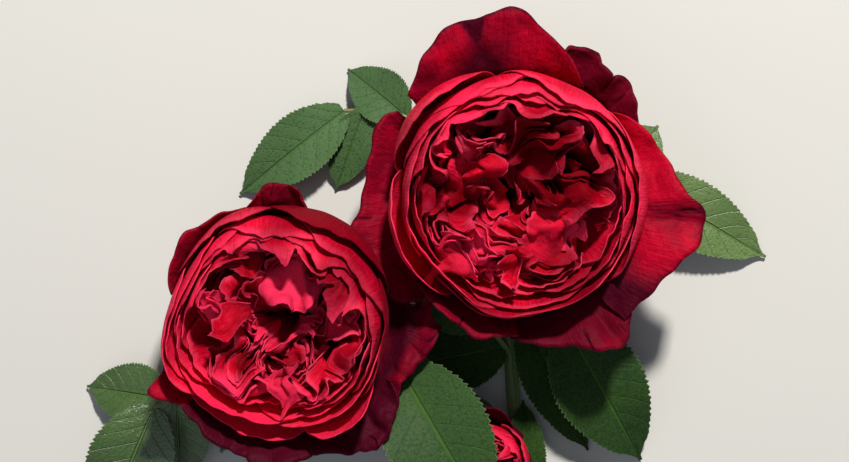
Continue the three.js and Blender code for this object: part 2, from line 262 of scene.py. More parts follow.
def tube(centres, radii):
    """A closed tube along evenly spaced centres, carried without twisting."""
    across, along = blank_grid(tube_blank)
    ring = np.rint(along * TUBE_STEPS).astype(int)
    angle = (across + 1) * math.pi
    tangents = np.gradient(centres, axis=0)
    tangents /= np.linalg.norm(tangents, axis=1, keepdims=True)
    side = np.cross(tangents[0], (0, 0, 1) if abs(tangents[0][2]) < 0.9 else (1, 0, 0))
    sides = []
    for tangent in tangents:
        side = side - tangent * np.dot(side, tangent)
        side = side / np.linalg.norm(side)
        sides.append(side)
    sides = np.array(sides)
    tops = np.cross(tangents, sides)
    round_it = np.cos(angle)[:, None] * sides[ring] + np.sin(angle)[:, None] * tops[ring]
    piece = shaped_copy(tube_blank, centres[ring] + radii[ring][:, None] * round_it)
    pick([piece])
    bpy.ops.object.mode_set(mode="EDIT")
    bpy.ops.mesh.select_all(action="SELECT")
    bpy.ops.mesh.remove_doubles(threshold=WELD_GAP * MM)
    bpy.ops.mesh.fill_holes(sides=0)
    bpy.ops.mesh.normals_make_consistent(inside=False)
    bpy.ops.object.mode_set(mode="OBJECT")
    bpy.ops.object.shade_smooth_by_angle(angle=math.radians(TUBE_CREASE))
    return piece


def node_link(tree, socket, entry):
    """Feeds a socket with another socket's value, a number or a colour."""
    if isinstance(entry, (int, float)):
        socket.default_value = entry
    elif isinstance(entry, tuple):
        socket.default_value = (*entry, 1)[:len(socket.default_value)]
    else:
        tree.links.new(entry, socket)


def math_node(tree, operation, first, second=0):
    """One step of arithmetic on sockets or numbers."""
    node = tree.nodes.new("ShaderNodeMath")
    node.operation = operation
    node_link(tree, node.inputs[0], first)
    node_link(tree, node.inputs[1], second)
    return node.outputs[0]


def times(tree, value, factor):
    """A value times a factor."""
    return math_node(tree, "MULTIPLY", value, factor)


def blend_node(tree, share, first, second):
    """A colour that goes from the first to the second as share rises."""
    node = tree.nodes.new("ShaderNodeMix")
    node.data_type = "RGBA"
    node_link(tree, node.inputs[0], share)
    node_link(tree, node.inputs[6], first)
    node_link(tree, node.inputs[7], second)
    return node.outputs[2]


def rise_node(tree, value, low, high):
    """Rises gently from 0 to 1 as value goes from low to high."""
    node = tree.nodes.new("ShaderNodeMapRange")
    node.interpolation_type = "SMOOTHSTEP"
    node_link(tree, node.inputs["Value"], value)
    node.inputs["From Min"].default_value = low
    node.inputs["From Max"].default_value = high
    return node.outputs["Result"]


def washed(tree, colour, value, low, high, strength, wash):
    """A colour washed over with another, up to a strength, as value goes from low to high."""
    return blend_node(tree, times(tree, rise_node(tree, value, low, high), strength), colour, wash)


def noise_node(tree, vector, scale, detail):
    """Soft noise over a vector."""
    node = tree.nodes.new("ShaderNodeTexNoise")
    node.inputs["Scale"].default_value = scale
    node.inputs["Detail"].default_value = detail
    tree.links.new(vector, node.inputs["Vector"])
    return node.outputs[0]


def new_group(name, colours):
    """A node group with colour inputs, and a colour and a height as outputs."""
    group = bpy.data.node_groups.new(name, "ShaderNodeTree")
    for colour in colours:
        group.interface.new_socket(name=colour, in_out="INPUT", socket_type="NodeSocketColor")
    group.interface.new_socket(name="Colour", in_out="OUTPUT", socket_type="NodeSocketColor")
    group.interface.new_socket(name="Height", in_out="OUTPUT", socket_type="NodeSocketFloat")
    return group, group.nodes.new("NodeGroupInput"), group.nodes.new("NodeGroupOutput")


def painted(name, group, colours, bump_strength, bump_distance, roughness, specular):
    """A material whose colour and bump come from a node group."""
    material = bpy.data.materials.new(name)
    material.use_nodes = True
    tree = material.node_tree
    coat = tree.nodes.new("ShaderNodeGroup")
    coat.node_tree = group
    for socket, colour in zip(coat.inputs, colours):
        socket.default_value = (*colour, 1)
    shader = tree.nodes["Principled BSDF"]
    shader.inputs["Roughness"].default_value = roughness
    shader.inputs["Specular IOR Level"].default_value = specular
    bump = tree.nodes.new("ShaderNodeBump")
    bump.inputs["Strength"].default_value = bump_strength
    bump.inputs["Distance"].default_value = bump_distance
    tree.links.new(coat.outputs["Colour"], shader.inputs["Base Color"])
    tree.links.new(coat.outputs["Height"], bump.inputs["Height"])
    tree.links.new(bump.outputs[0], shader.inputs["Normal"])
    return material, shader


surface, given, made = new_group("bark_surface", ("Green", "Red Side"))
place = surface.nodes.new("ShaderNodeTexCoord").outputs["Object"]
patch = noise_node(surface, place, BARK_PATCH_SCALE, 3)
grain = noise_node(surface, place, BARK_GRAIN_SCALE, 4)
colour = washed(surface, given.outputs["Green"], patch, 0.45, 0.75, 0.55, given.outputs["Red Side"])
surface.links.new(colour, made.inputs["Colour"])
surface.links.new(grain, made.inputs["Height"])
bark_colours = ((0.09, 0.17, 0.04), (0.2, 0.09, 0.04))
stem_bark, _ = painted("stem_bark", surface, bark_colours, 0.3, 0.0003, 0.45, 0.5)

stem_lines = {}
for name, stem in STEMS.items():
    stance = BLOOM_STANCE[stem["carries"]]
    up = stance["turn"] @ (0, 0, 1)
    hip_foot = PETAL_FOOT + SEAT_GAP + stance["hip_length"] + SEAT_GAP
    end = stance["seat"] - up * hip_foot
    stem_lines[name] = smooth_line([*stem["route"], end - up * NECK_LENGTH, end])
    radii = stem["foot"] + (stem["tip"] - stem["foot"]) * tube_share
    radii += ripples(tube_share, 1, CANE_SWELLS)
    cane = tube(at_share(stem_lines[name], tube_share), radii - SKIN_INSET)
    cane.name = f"{name}_cane"
    finish_piece(cane, stem_bark, "stem", name)

# Hips and sepals
# A green cup joins each bloom to its stem, and five thin pointed sepals are turned back
# from its rim. They are soft leaf tissue, grown as one with the hip.
HIP_HEIGHTS = (-1, -0.9, -0.66, -0.5, -0.25, 0)
HIP_OUTS = (0.42, 0.62, 0.92, 1, 0.97, 0.9)
SEPAL_THICKNESS = 0.5
SEPALS = 5
SEPAL_GRID = (6, 24)
SHEET_CREASE = 55

sepal_blank = flat_blank("sepal_blank", *SEPAL_GRID)
sepal_across, sepal_along = blank_grid(sepal_blank)


def thicken(piece, thickness):
    """Gives a sheet its real thickness, with smooth faces and crisp rims."""
    pick([piece])
    wall = piece.modifiers.new("wall", "SOLIDIFY")
    wall.thickness = thickness * MM
    wall.offset = 0
    bpy.ops.object.modifier_apply(modifier="wall")
    bpy.ops.object.shade_smooth_by_angle(angle=math.radians(SHEET_CREASE))


def laid_out(base, heading, out, aside, height):
    """Points some way out from a base along a heading, and aside from that, at a height."""
    x = base[0] + out * math.cos(heading) - aside * math.sin(heading)
    y = base[1] + out * math.sin(heading) + aside * math.cos(heading)
    return np.stack([x, y, height], axis=1)


for side, stance in BLOOM_STANCE.items():
    foot = np.array([0, 0, -PETAL_FOOT - SEAT_GAP])
    axis = np.outer(tube_share - 1, (0, 0, stance["hip_length"]))
    outs = np.interp(tube_share - 1, HIP_HEIGHTS, HIP_OUTS)
    cup = tube(from_bloom(axis + foot, stance), outs * (stance["hip"] - SKIN_INSET))
    sepals = []
    for place in range(SEPALS):
        toward = math.radians(360 / SEPALS * (place + 0.5))
        out = stance["hip"] * 0.5 + stance["sepal"] * sepal_along
        taper = 0.75 - 0.62 * sepal_along + 0.12 * np.sin(sepal_along * math.pi)
        aside = sepal_across * stance["hip"] * taper
        height = -1.1 - stance["droop"] * sepal_along**2 - 0.5 * sepal_across**2 * (1 - sepal_along)
        bent = laid_out((0, 0), toward, out, aside, height)
        sepals.append(shaped_copy(sepal_blank, from_bloom(bent + foot, stance)))
    leaves = joined(sepals, f"{side}_sepals")
    thicken(leaves, SEPAL_THICKNESS)
    hip = joined([cup, leaves], f"{side}_hip_and_sepals")
    finish_piece(hip, stem_bark, "calyx", f"calyx_{side}")

# Leaf stalks and leaflets
# Each leaf has a slender stalk with toothed leaflets on it, one of them at its end. The blades
# are thin and leathery, folded a little at the midrib and quilted between their side veins.
STALK_RADIUS = 0.9
LEAFLET_THICKNESS = 0.4
TEETH = 30
ROWS_PER_TOOTH = 4
VEINS = 8
VEIN_SLANT = 0.2
STALK_STEPS = 6
TOOTH_DEPTH = 0.08
QUILT_DEPTH = 0.35
MIDRIB_FOLD = 0.22
EDGE_WAVE = 0.7
MOTTLE_SCALE = 60
NET_SCALE = 1100
LATERAL_SHARE = 0.3
LEAF_COLUMNS = 12
LEAFLET_PHASE = 2.1
GLOSSY_LEAVES = ("leaf_lower_left", "leaf_right")
LEAF_KEYS = ("on", "station", "heading", "turn", "stalk", "end", "hump")
LEAFLET_KEYS = ("station", "heading", "length", "half_width", "tip", "arch", "tint")
LEAVES = {
    "leaf_lower_left": [
        ("side_stem_left", 0.71, 181, 22, 68, 13, 3),
        (1, 247, 50, 15, 0.6, 5, 0.15), (0.9, 173, 32, 11, 1, 1, 0.3), (0.88, 270, 32, 11, 0.6, 1, 0.4),
        (0.5, 140, 28, 11, 2, 2, 0.3), (0.48, 246, 30, 11, 2, 2, 0.4),
    ],
    "leaf_lower_middle": [("side_stem_left", 0.54, 100, -50, 8, 28, 0), (1, 301, 60, 18, 37, 7, 0.3)],
    "leaf_lower_right": [
        ("main_stem", 0.68, 25, -50, 19, 17, 1),
        (1, -60, 56, 16, 0.6, 6, 0.2), (0.3, -64, 52, 11, 0.6, 5, 0.15), (0.7, 50, 30, 11, 4, 1, 0.4),
    ],
    "leaf_shaded": [
        ("main_stem", 0.61, 118, 20, 15, 12, 1),
        (1, 144, 34, 11, 13, 3, 0.5), (0.3, 191, 36, 12, 5.4, 0, 0.1),
    ],
    "leaf_foot": [
        ("main_stem", 0.24, 94, 0, 16, 7, 1),
        (1, 93, 32, 7, 6.1, 0, 0.1), (0.8, -8, 30, 10, 0.6, 3, 0.3),
    ],
    "leaf_upper_left": [
        ("main_stem", 0.83, 94, 92, 84, 8, 3),
        (1, 218, 47, 11, 0.6, 4, 0.8), (0.92, 250, 29, 8, 1, 1, 0.7),
        (0.74, 140, 27, 9.5, 0.6, 3, 0.65), (0.6, 78, 20, 8.5, 0.6, 3, 0.45),
    ],
    "leaf_right": [
        ("main_stem", 0.77, 69, -60, 57, 11, 0),
        (1, -29, 55, 12, 0.6, 3, 1), (0.88, -26, 30, 11, 1, 1, 0.9), (0.86, 50, 28, 11, 0.6, 2, 0.7),
    ],
}

leaflet_blank = flat_blank("leaflet_blank", LEAF_COLUMNS, TEETH * ROWS_PER_TOOTH)
leaf_across, leaf_along = blank_grid(leaflet_blank)


def leaflet_points(base, leaflet, phase):
    """A blade that widens from its foot to a pointed tip, toothed, folded, quilted and waved."""
    heading = math.radians(leaflet["heading"])
    reach = np.minimum(0.97, 0.04 + 0.96 * leaf_along)
    shape = np.sin(math.pi * reach**0.85) ** 0.8
    shape = shape * (1 - 0.7 * smooth(leaf_along, 0.86, 1))
    shape = np.maximum(0.06 * (1 - smooth(leaf_along, 0.9, 1)), shape)
    tooth = (leaf_along * TEETH) % 1 - 0.5
    edge = np.abs(leaf_across)
    bite = TOOTH_DEPTH + 0.5 * TOOTH_DEPTH * np.sin(np.floor(leaf_along * TEETH) * 2.4)
    width = leaflet["half_width"] * shape * (1 + bite * tooth * edge**4)
    vein = (leaf_along - VEIN_SLANT * edge) * VEINS + phase * 0.1
    quilt = QUILT_DEPTH * np.abs(np.sin(vein * math.pi)) ** 0.6 * smooth(edge, 0, 0.25) * (1 - 0.6 * edge)
    height = base[2] + (leaflet["tip"] - base[2]) * leaf_along
    height += leaflet["arch"] * np.sin(math.pi * leaf_along)
    height += MIDRIB_FOLD * edge * width + quilt
    height += EDGE_WAVE * np.sin(leaf_along * 10 + phase + 1.5 * np.sign(leaf_across)) * edge**2.5 * shape
    return laid_out(base, heading, leaflet["length"] * leaf_along, leaf_across * width, height)


def surface_inputs(group):
    """A blank's layout, the way from its middle line, the way along, its tint and its place in space."""
    layout = group.nodes.new("ShaderNodeUVMap")
    layout.uv_map = "UVMap"
    split = group.nodes.new("ShaderNodeSeparateXYZ")
    group.links.new(layout.outputs["UV"], split.inputs[0])
    side = math_node(group, "ABSOLUTE", math_node(group, "SUBTRACT", split.outputs[0], 0.5))
    tint = group.nodes.new("ShaderNodeAttribute")
    tint.attribute_name = "tint"
    place = group.nodes.new("ShaderNodeTexCoord").outputs["Object"]
    return layout.outputs["UV"], side, split.outputs[1], tint.outputs["Fac"], place


surface, given, made = new_group("leaf_surface", ("Deep", "Grey Green", "Vein"))
deep, pale = given.outputs["Deep"], given.outputs["Vein"]
_, from_midrib, way, tint, place = surface_inputs(surface)
slanted = math_node(surface, "SUBTRACT", way, times(surface, from_midrib, 2 * VEIN_SLANT))
wave = math_node(surface, "SINE", times(surface, slanted, VEINS * math.pi))
lateral = rise_node(surface, math_node(surface, "ABSOLUTE", wave), 0.16, 0.02)
lateral = times(surface, lateral, LATERAL_SHARE)
line = math_node(surface, "MAXIMUM", rise_node(surface, from_midrib, 0.028, 0.008), lateral)
mottle = noise_node(surface, place, MOTTLE_SCALE, 3)
net = noise_node(surface, place, NET_SCALE, 4)
colour = blend_node(surface, tint, deep, given.outputs["Grey Green"])
colour = washed(surface, colour, mottle, 0.35, 0.8, 0.35, pale)
colour = washed(surface, colour, net, 0.5, 0.66, 0.3, pale)
colour = washed(surface, colour, net, 0.48, 0.34, 0.4, deep)
colour = blend_node(surface, times(surface, line, 0.6), colour, pale)
# Painted highlight: the leaf margin is washed paler, where its teeth would catch the light.
colour = washed(surface, colour, from_midrib, 0.488, 0.499, 0.25, (0.3, 0.42, 0.22))
height = math_node(surface, "SUBTRACT", times(surface, net, 0.5), line)
surface.links.new(colour, made.inputs["Colour"])
surface.links.new(height, made.inputs["Height"])
leaf_colours = ((0.007, 0.024, 0.003), (0.09, 0.17, 0.075), (0.05, 0.115, 0.02))
leaf_green, _ = painted("leaf_green", surface, leaf_colours, 0.8, 0.0005, 0.42, 0.04)
gloss_colours = ((0.02, 0.055, 0.006), (0.12, 0.2, 0.06), (0.07, 0.15, 0.025))
leaf_gloss, _ = painted("leaf_gloss", surface, gloss_colours, 1, 0.0006, 0.36, 0.9)

for name, (grown, *leaflets) in LEAVES.items():
    leaf = dict(zip(LEAF_KEYS, grown))
    root_place = at_share(stem_lines[leaf["on"]], leaf["station"])[0]
    points = [root_place]
    for step in range(1, STALK_STEPS + 1):
        heading = math.radians(leaf["heading"] + leaf["turn"] * (step - 0.5) / STALK_STEPS)
        way = step / STALK_STEPS
        stride = leaf["stalk"] / STALK_STEPS
        height = root_place[2] + (leaf["end"] - root_place[2]) * way + leaf["hump"] * 4 * way * (1 - way)
        points.append(np.array([
            points[-1][0] + stride * math.cos(heading), points[-1][1] + stride * math.sin(heading), height,
        ]))
    stalk_line = smooth_line(points)
    stalk = tube(at_share(stalk_line, tube_share), STALK_RADIUS * (1.25 - 0.45 * tube_share))
    stalk.name = f"{name}_stalk"
    blades = []
    for number, entries in enumerate(leaflets):
        leaflet = dict(zip(LEAFLET_KEYS, entries))
        base = at_share(stalk_line, leaflet["station"])[0]
        points = leaflet_points(base, leaflet, number * LEAFLET_PHASE)
        blades.append(shaped_copy(leaflet_blank, points, leaflet["tint"]))
    blade = joined(blades, f"{name}_blades")
    thicken(blade, LEAFLET_THICKNESS)
    finish_piece(blade, leaf_gloss if name in GLOSSY_LEAVES else leaf_green, "leaf", name)
    finish_piece(stalk, stem_bark, "leaf")

# Petals
# Thin velvety blades. Guard petals stand out round a cup of tightly wrapped petals, all rooted
# on the hip. The heart is filled with shorter ones, crumpled together as they grew, with a few
# broad tongues on top.
PETAL_THICKNESS = 0.34
PETAL_GRID = (32, 28)
GUARD_GRID = (64, 40)
RUFFLE = {"count": 18, "shortest": 30, "longest": 60, "steps": 6, "sharp": 0}
CRUMPLE = {"count": 22, "shortest": 20, "longest": 38, "steps": 10, "sharp": 0}
CRINKLE = {"count": 26, "shortest": 8, "longest": 15, "steps": 5, "sharp": 0.98}
RUFFLE_PUSH = 2.4
CRINKLE_SHARE = 0.42
CUP_RIPPLE = ((0.012, 9, 1), (0.007, 23, 3))
CUP_FRILL = ((1, 13, 2), (0.6, 29, 1))
CUP_NOTCH = 0.04
CUP_CURL = 125
GUARD_RIPPLE = ((0.008, 11, 1), (0.006, 27, 2))
GUARD_SHOULDER = 0.45
LAYER_GAP = 0.6
EDGE_FLUTTER = 0.5
TUCK_DEPTH = 1.5
TUCK_SHADE = 0.9
FAN_POINTS = 9
HEART_RIPPLE = ((0.03, 7, 1), (0.015, 17, 2))
HEART_FRILL = ((1, 15, 2), (0.6, 31, 1))
HEART_FRILL_WIDTH = 0.3
HEART_NOTCH = 0.05
HEART_FOOT = 0.08
TONGUE_RAGGED = ((0.035, 8, 1), (0.02, 19, 2))
TONGUE_SWELLS = ((0.6, 7, 1), (0.25, 19, 1))
TONGUE_ROOM = 3
GOLDEN_ANGLE = 137.5
QUARTERS = 5
QUARTER_PINCH = 0.5
QUARTER_WIDTH = 0.3
LOBE_SWELL = 0.2
INNER_SHARE = 0.2
INNER_PETALS = 3
SUNNY_SIDE = 200
SUNNY_SHARE = 0.25
VEIN_STRETCH = (90, 5, 1)
BLOTCH_SCALE = 90
WRINKLE_SCALE = 220
GRAIN_SCALE = 500

petal_blank = flat_blank("petal_blank", *PETAL_GRID)
petal_across, petal_along = blank_grid(petal_blank)
guard_blank = flat_blank("guard_blank", *GUARD_GRID)
guard_across, guard_along = blank_grid(guard_blank)


def in_bloom(points, bloom):
    """Points in picture millimetres, as given on a bloom's own axes."""
    return (points - bloom["seat"]) @ bloom["turn"]


def round_axis(out, turn, height):
    """Points at a distance from the bloom's axis, at an angle round it and at a height."""
    return np.stack([out * np.cos(turn), out * np.sin(turn), height], axis=1)


def fading(distance, width, power=2):
    """1 at no distance, fading away over a width, more abruptly at a higher power."""
    return np.exp(-np.abs(distance / width) ** power)


def rounding(way, end):
    """Rises from 0 to 1 at end and stays there, steep at first like the side of a bowl."""
    return np.sin(np.minimum(1, way / end) * math.pi / 2)


def petal_waves(seed, strength, count, shortest, longest, steps, sharp):
    """Gentle sideways waves in space, each moving points across its own direction."""
    draw = np.random.default_rng(seed)
    ways = draw.normal(size=(count, 3))
    ways /= np.linalg.norm(ways, axis=1, keepdims=True)
    push = np.cross(ways, draw.normal(size=(count, 3)))
    push /= np.linalg.norm(push, axis=1, keepdims=True)
    length = draw.uniform(shortest, longest, size=(count, 1))
    phase = draw.uniform(0, 2 * math.pi, size=count)
    return ways * 2 * math.pi / length, push * strength / math.sqrt(count), phase, steps, sharp


def rim_free(points, bloom):
    """1 at the rim, where a petal is free, and 0 at its claw."""
    return smooth(points[:, 2], 0.3 * bloom["depth"], bloom["depth"])


def heart_free(points, bloom):
    """1 in the heart, almost 0 at the wall of the cup and 0 at the claws."""
    out = np.hypot(points[:, 0], points[:, 1]) / bloom["radius"]
    risen = smooth(points[:, 2], 0.25 * bloom["depth"], 0.75 * bloom["depth"])
    return risen * (1 - 0.96 * smooth(out, 0.64, 0.86))


def drift(points, bloom, waves, hold):
    """Carries points along waves in small steps, by a share that is given or found where they are."""
    ways, push, phase, steps, sharp = bloom[waves]
    moved = points.copy()
    for _ in range(steps):
        swing = np.sin(moved @ ways.T + phase)
        if sharp:
            swing = np.arcsin(sharp * swing)
        free = hold(moved, bloom) if callable(hold) else hold
        moved += swing @ push * free[:, None] / steps
    return moved


def sagged(points, bloom, share=1):
    """The cup's wall pushed a little to one side at half its height, as it hangs by its own weight."""
    bulge = np.sin(np.clip(points[:, 2] / bloom["depth"], 0, 1) * math.pi) * share
    points[:, :2] += bulge[:, None] * bloom["sag"]
    return points


def openness(bloom, turn):
    """How far the cup has opened at a direction: 1 on its open side, 0 across from it."""
    return (0.5 + 0.5 * np.cos(turn - math.radians(bloom["open_side"]))) ** 1.5


def cup_petal(bloom, petal):
    """An arc from the claw out and up to a rim that turns in over the heart, less where it is open."""
    across, along, phase = petal_across, petal_along, petal["phase"]
    drop = petal["drop"] * np.abs(across) ** 3
    notch = CUP_NOTCH * fading(across - petal["notch"], 0.16)
    way = petal["rise"] * along * (1 - drop - notch + ripples(across, phase, CUP_RIPPLE))
    share = 0.42 + 0.58 * rounding(way, 0.6)
    turn = np.radians(petal["toward"] + across * petal["half_span"] * share)
    opened = openness(bloom, turn)
    curl = np.radians(CUP_CURL - bloom["opened"] * opened)
    spread = petal["spread"] + petal["stand"] * (1 - across**2)
    spread = spread - 0.7 * opened * np.maximum(0, 0.98 - spread)
    wall = CLAW_RADIUS + (bloom["radius"] * spread - CLAW_RADIUS) * np.sin(way * curl)
    wall += petal["roll"] * smooth(along, 0.8, 1)
    wall += smooth(along, 0.75, 1) * petal["frill"] * ripples(across, phase, CUP_FRILL)
    return round_axis(wall, turn, bloom["depth"] * (1 - np.cos(way * curl)) / (1 - np.cos(curl)))


def tucked(tuck):
    """1 within a pleat that opens from a point on a guard petal to its margin and is tucked under."""
    where, half_width, start = tuck
    wide = half_width * (guard_along - start) / (1 - start)
    inside = smooth(wide - np.abs(guard_across - where), -0.02, 0.02)
    return inside * smooth(guard_along, start, start + 0.08)


def fan_margin(mid_angle, reach, half_width, tip):
    """The margin of a small guard petal, rounded off on both sides of its middle."""
    steps = np.linspace(-1, 1, FAN_POINTS)
    out = reach * (1 - 0.25 * steps**2)
    return round_axis(out, math.radians(mid_angle) + steps * half_width / out, tip + 0 * steps)


def guard_petal(bloom, petal):
    """Up the outside of the cup, then out to its margin, creased lengthwise and rolled back."""
    across, along, phase = guard_across, guard_along, petal["phase"]
    fanned = "fan" in petal
    margin_line = fan_margin(*petal["fan"]) if fanned else in_bloom(smooth_line(petal["margin"]), bloom)
    margin = at_share(margin_line, (across + 1) / 2)
    middle = at_share(margin_line, 0.5)[0]
    toward = math.atan2(middle[1], middle[0])
    angle = np.arctan2(margin[:, 1], margin[:, 0]) - toward
    angle = (angle + math.pi) % (2 * math.pi) - math.pi
    reach = np.maximum(np.hypot(margin[:, 0], margin[:, 1]), bloom["radius"] * 0.98)
    way = along * (1 + ripples(across, phase, GUARD_RIPPLE) * (1 + 2 * petal["dark"]))
    climb = np.minimum(1, way / GUARD_SHOULDER)
    outer = bloom["radius"] + petal["layer"]
    radius = CLAW_RADIUS + (outer - CLAW_RADIUS) * np.sin(climb * math.pi / 2)
    radius = radius + (reach - outer) * smooth(way, GUARD_SHOULDER * 0.75, 1.08) * 1.04
    low = margin[:, 2] * petal["held"] * (1 - np.cos(climb * math.pi / 2))
    height = low + margin[:, 2] * (1 - petal["held"]) * smooth(way, GUARD_SHOULDER * 0.6, 1)
    free = smooth(way, GUARD_SHOULDER, 0.75)
    for where, slant, depth, width in petal["creases"]:
        height = height - free * depth * fading(across - where - slant * (1 - way), width, 1.5)
    height -= TUCK_DEPTH * tucked(petal["tuck"])
    height += free * petal["wave"] * np.sin(across * 5 + phase)
    height += free * EDGE_FLUTTER * np.sin(across * 17 + phase * 2) * np.abs(across)
    edge = np.maximum(smooth(along, 0.86, 1), smooth(np.abs(across), 0.88, 1) * smooth(along, 0.5, 0.8))
    height -= edge**2 * petal["rolled"]
    around = toward + angle * (0.35 + 0.65 * rounding(way, 0.65))
    return sagged(round_axis(radius, around, height), bloom, 1 - smooth(way, 0.5, 0.95))


def heart_petal(bloom, petal):
    """A short petal that stands in the heart, folded lengthwise and leaning outwards."""
    across, along, phase = petal_across, petal_along, petal["phase"]
    notch = HEART_NOTCH * fading(across - petal["notch"], 0.2)
    way = along * (1 - 0.22 * np.abs(across) ** 2.2 + ripples(across, phase, HEART_RIPPLE) - notch)
    height = bloom["depth"] * (HEART_FOOT + (petal["top"] - HEART_FOOT) * way)
    share = 0.3 + 0.7 * rounding(way, 0.75)
    turn = math.radians(petal["toward"]) + across * petal["half_span"] * share
    fold = petal["fold"] * np.cos(across * petal["folds"] * math.pi + phase) * smooth(way, 0.3, 0.9)
    wall = bloom["radius"] * petal["ring"] * (0.35 + 0.65 * rounding(way, 0.55))
    wall = (wall + petal["lean"] * smooth(way, 0.6, 1) + fold) * (1 - 0.1 * openness(bloom, turn))
    wall += smooth(along, 0.7, 1) * HEART_FRILL_WIDTH * ripples(across, phase, HEART_FRILL)
    return round_axis(wall, turn, height)


def quartered(points, radius, first):
    """Draws the heart's rings in towards the middle along five lines, so that lobes form."""
    out = np.hypot(points[:, 0], points[:, 1])
    angle = np.arctan2(points[:, 1], points[:, 0]) - first
    from_line = np.abs((angle * QUARTERS / (2 * math.pi) + 0.5) % 1 - 0.5) * 2 * math.pi / QUARTERS
    middle = smooth(out, 0, 0.25 * radius) * (1 - smooth(out, 0.58 * radius, 0.8 * radius))
    pinch = QUARTER_PINCH * fading(from_line, QUARTER_WIDTH)
    share = 1 - pinch * middle * smooth(points[:, 2], 0.1 * radius, 0.8 * radius)
    bell = smooth(out, 0, 0.2 * radius) * (1 - smooth(out, 0.3 * radius, 0.85 * radius))
    bell *= smooth(points[:, 2], 0.4 * radius, 1.15 * radius)
    share += LOBE_SWELL * radius / np.maximum(out, 1) * bell
    drawn = points.copy()
    drawn[:, :2] *= share[:, None]
    return drawn


def settled(points, bloom, tongues=()):
    """Quartered, ruffled, crumpled and sunk round the hollows and beneath the tongues, then placed."""
    points = sagged(quartered(points, bloom["radius"], math.radians(bloom["first"])), bloom)
    points = drift(points, bloom, "ruffle_waves", rim_free)
    points = drift(points, bloom, "crumple_waves", heart_free)
    points = drift(points, bloom, "crinkle_waves", heart_free)
    for x, y, wide, deep in bloom["hollows"]:
        points[:, 2] *= 1 - deep * fading(np.hypot(points[:, 0] - x, points[:, 1] - y), wide)
    points[:, 2] -= 0.75 * np.maximum(0, points[:, 2] - 0.99 * bloom["depth"])
    for petal in tongues:
        middle = in_bloom((np.array(petal["base"], float) + petal["tip"]) / 2, bloom)
        away = np.hypot(points[:, 0] - middle[0], points[:, 1] - middle[1])
        above = np.maximum(0, points[:, 2] - middle[2] + TONGUE_ROOM)
        points[:, 2] -= above * fading(away, petal["half_width"], 4)
    return from_bloom(points, bloom)


def painted_light_tint(points, bloom, tint):
    """A petal's tint, deepened by painted shade or paled by painted light where it lies in one of the
    bloom's painted spots.
    """
    inside = in_bloom(points, bloom)
    shade = tint + 0 * petal_across
    for x, y, wide, amount in bloom["painted_light_patches"]:
        shade += amount * fading(np.hypot(inside[:, 0] - x, inside[:, 1] - y), wide)
    return shade


def tongue_petal(petal):
    """A broad petal in the heart that shows its face, from its foot out to a rounded margin."""
    across, along, phase = petal_across, petal_along, petal["phase"]
    base, tip = np.array(petal["base"], float), np.array(petal["tip"], float)
    way = along * (1 - 0.3 * np.abs(across) ** 2.2 + ripples(across, phase, TONGUE_RAGGED))
    heading = (tip - base)[:2] / np.linalg.norm((tip - base)[:2])
    aside = across * petal["half_width"] * (0.25 + 0.75 * rounding(way, 0.6))
    points = base + way[:, None] * (tip - base)
    points[:, :2] += aside[:, None] * (-heading[1], heading[0])
    points[:, 2] += petal["arch"] * np.sin(way * math.pi * 0.8) - petal["droop"] * across**2
    points[:, 2] += smooth(way, 0.3, 1) * ripples(across, phase, TONGUE_SWELLS)
    points[:, 2] -= petal["fold"] * fading(across - 0.1, 0.16) * smooth(way, 0.1, 0.8)
    return points


surface, given, made = new_group("petal_surface", ("Body", "Margin", "Claw And Shade", "Pale And Light"))
claw, pale = given.outputs["Claw And Shade"], given.outputs["Pale And Light"]
layout, from_middle, way, tint, place = surface_inputs(surface)
stretch = surface.nodes.new("ShaderNodeMapping")
stretch.inputs["Scale"].default_value = VEIN_STRETCH
surface.links.new(layout, stretch.inputs["Vector"])
veins = noise_node(surface, stretch.outputs[0], 1, 3)
blotch = noise_node(surface, place, BLOTCH_SCALE, 4)
grain = noise_node(surface, place, GRAIN_SCALE, 4)
wrinkle = times(surface, noise_node(surface, place, WRINKLE_SCALE, 2), 2)
# Painted highlight: cup and heart petals get a pale rim along their top and side edges, where light would
# catch them. On guard petals this rim colour is their own scorched dark edge.
top = rise_node(surface, way, 0.92, 0.985)
rim = math_node(surface, "MAXIMUM", top, rise_node(surface, from_middle, 0.47, 0.495))
colour = blend_node(surface, rise_node(surface, way, 0.6, 0), given.outputs["Body"], claw)
colour = blend_node(surface, times(surface, rim, 0.8), colour, given.outputs["Margin"])
colour = washed(surface, colour, veins, 0.5, 0.68, 0.5, pale)
colour = washed(surface, colour, veins, 0.48, 0.3, 0.4, claw)
colour = washed(surface, colour, blotch, 0.42, 0.7, 0.5, claw)
# Painted light and shade: a positive tint deepens a petal toward the claw red, and a negative one pales it.
# The tints carry each petal's own tone together with painted shade and painted light.
colour = blend_node(surface, math_node(surface, "MAXIMUM", tint, 0), colour, claw)
paler = times(surface, tint, -1)
colour = blend_node(surface, math_node(surface, "MAXIMUM", paler, 0), colour, pale)
height = math_node(surface, "ADD", times(surface, veins, 0.9), grain)
height = math_node(surface, "ADD", height, wrinkle)
surface.links.new(colour, made.inputs["Colour"])
surface.links.new(height, made.inputs["Height"])


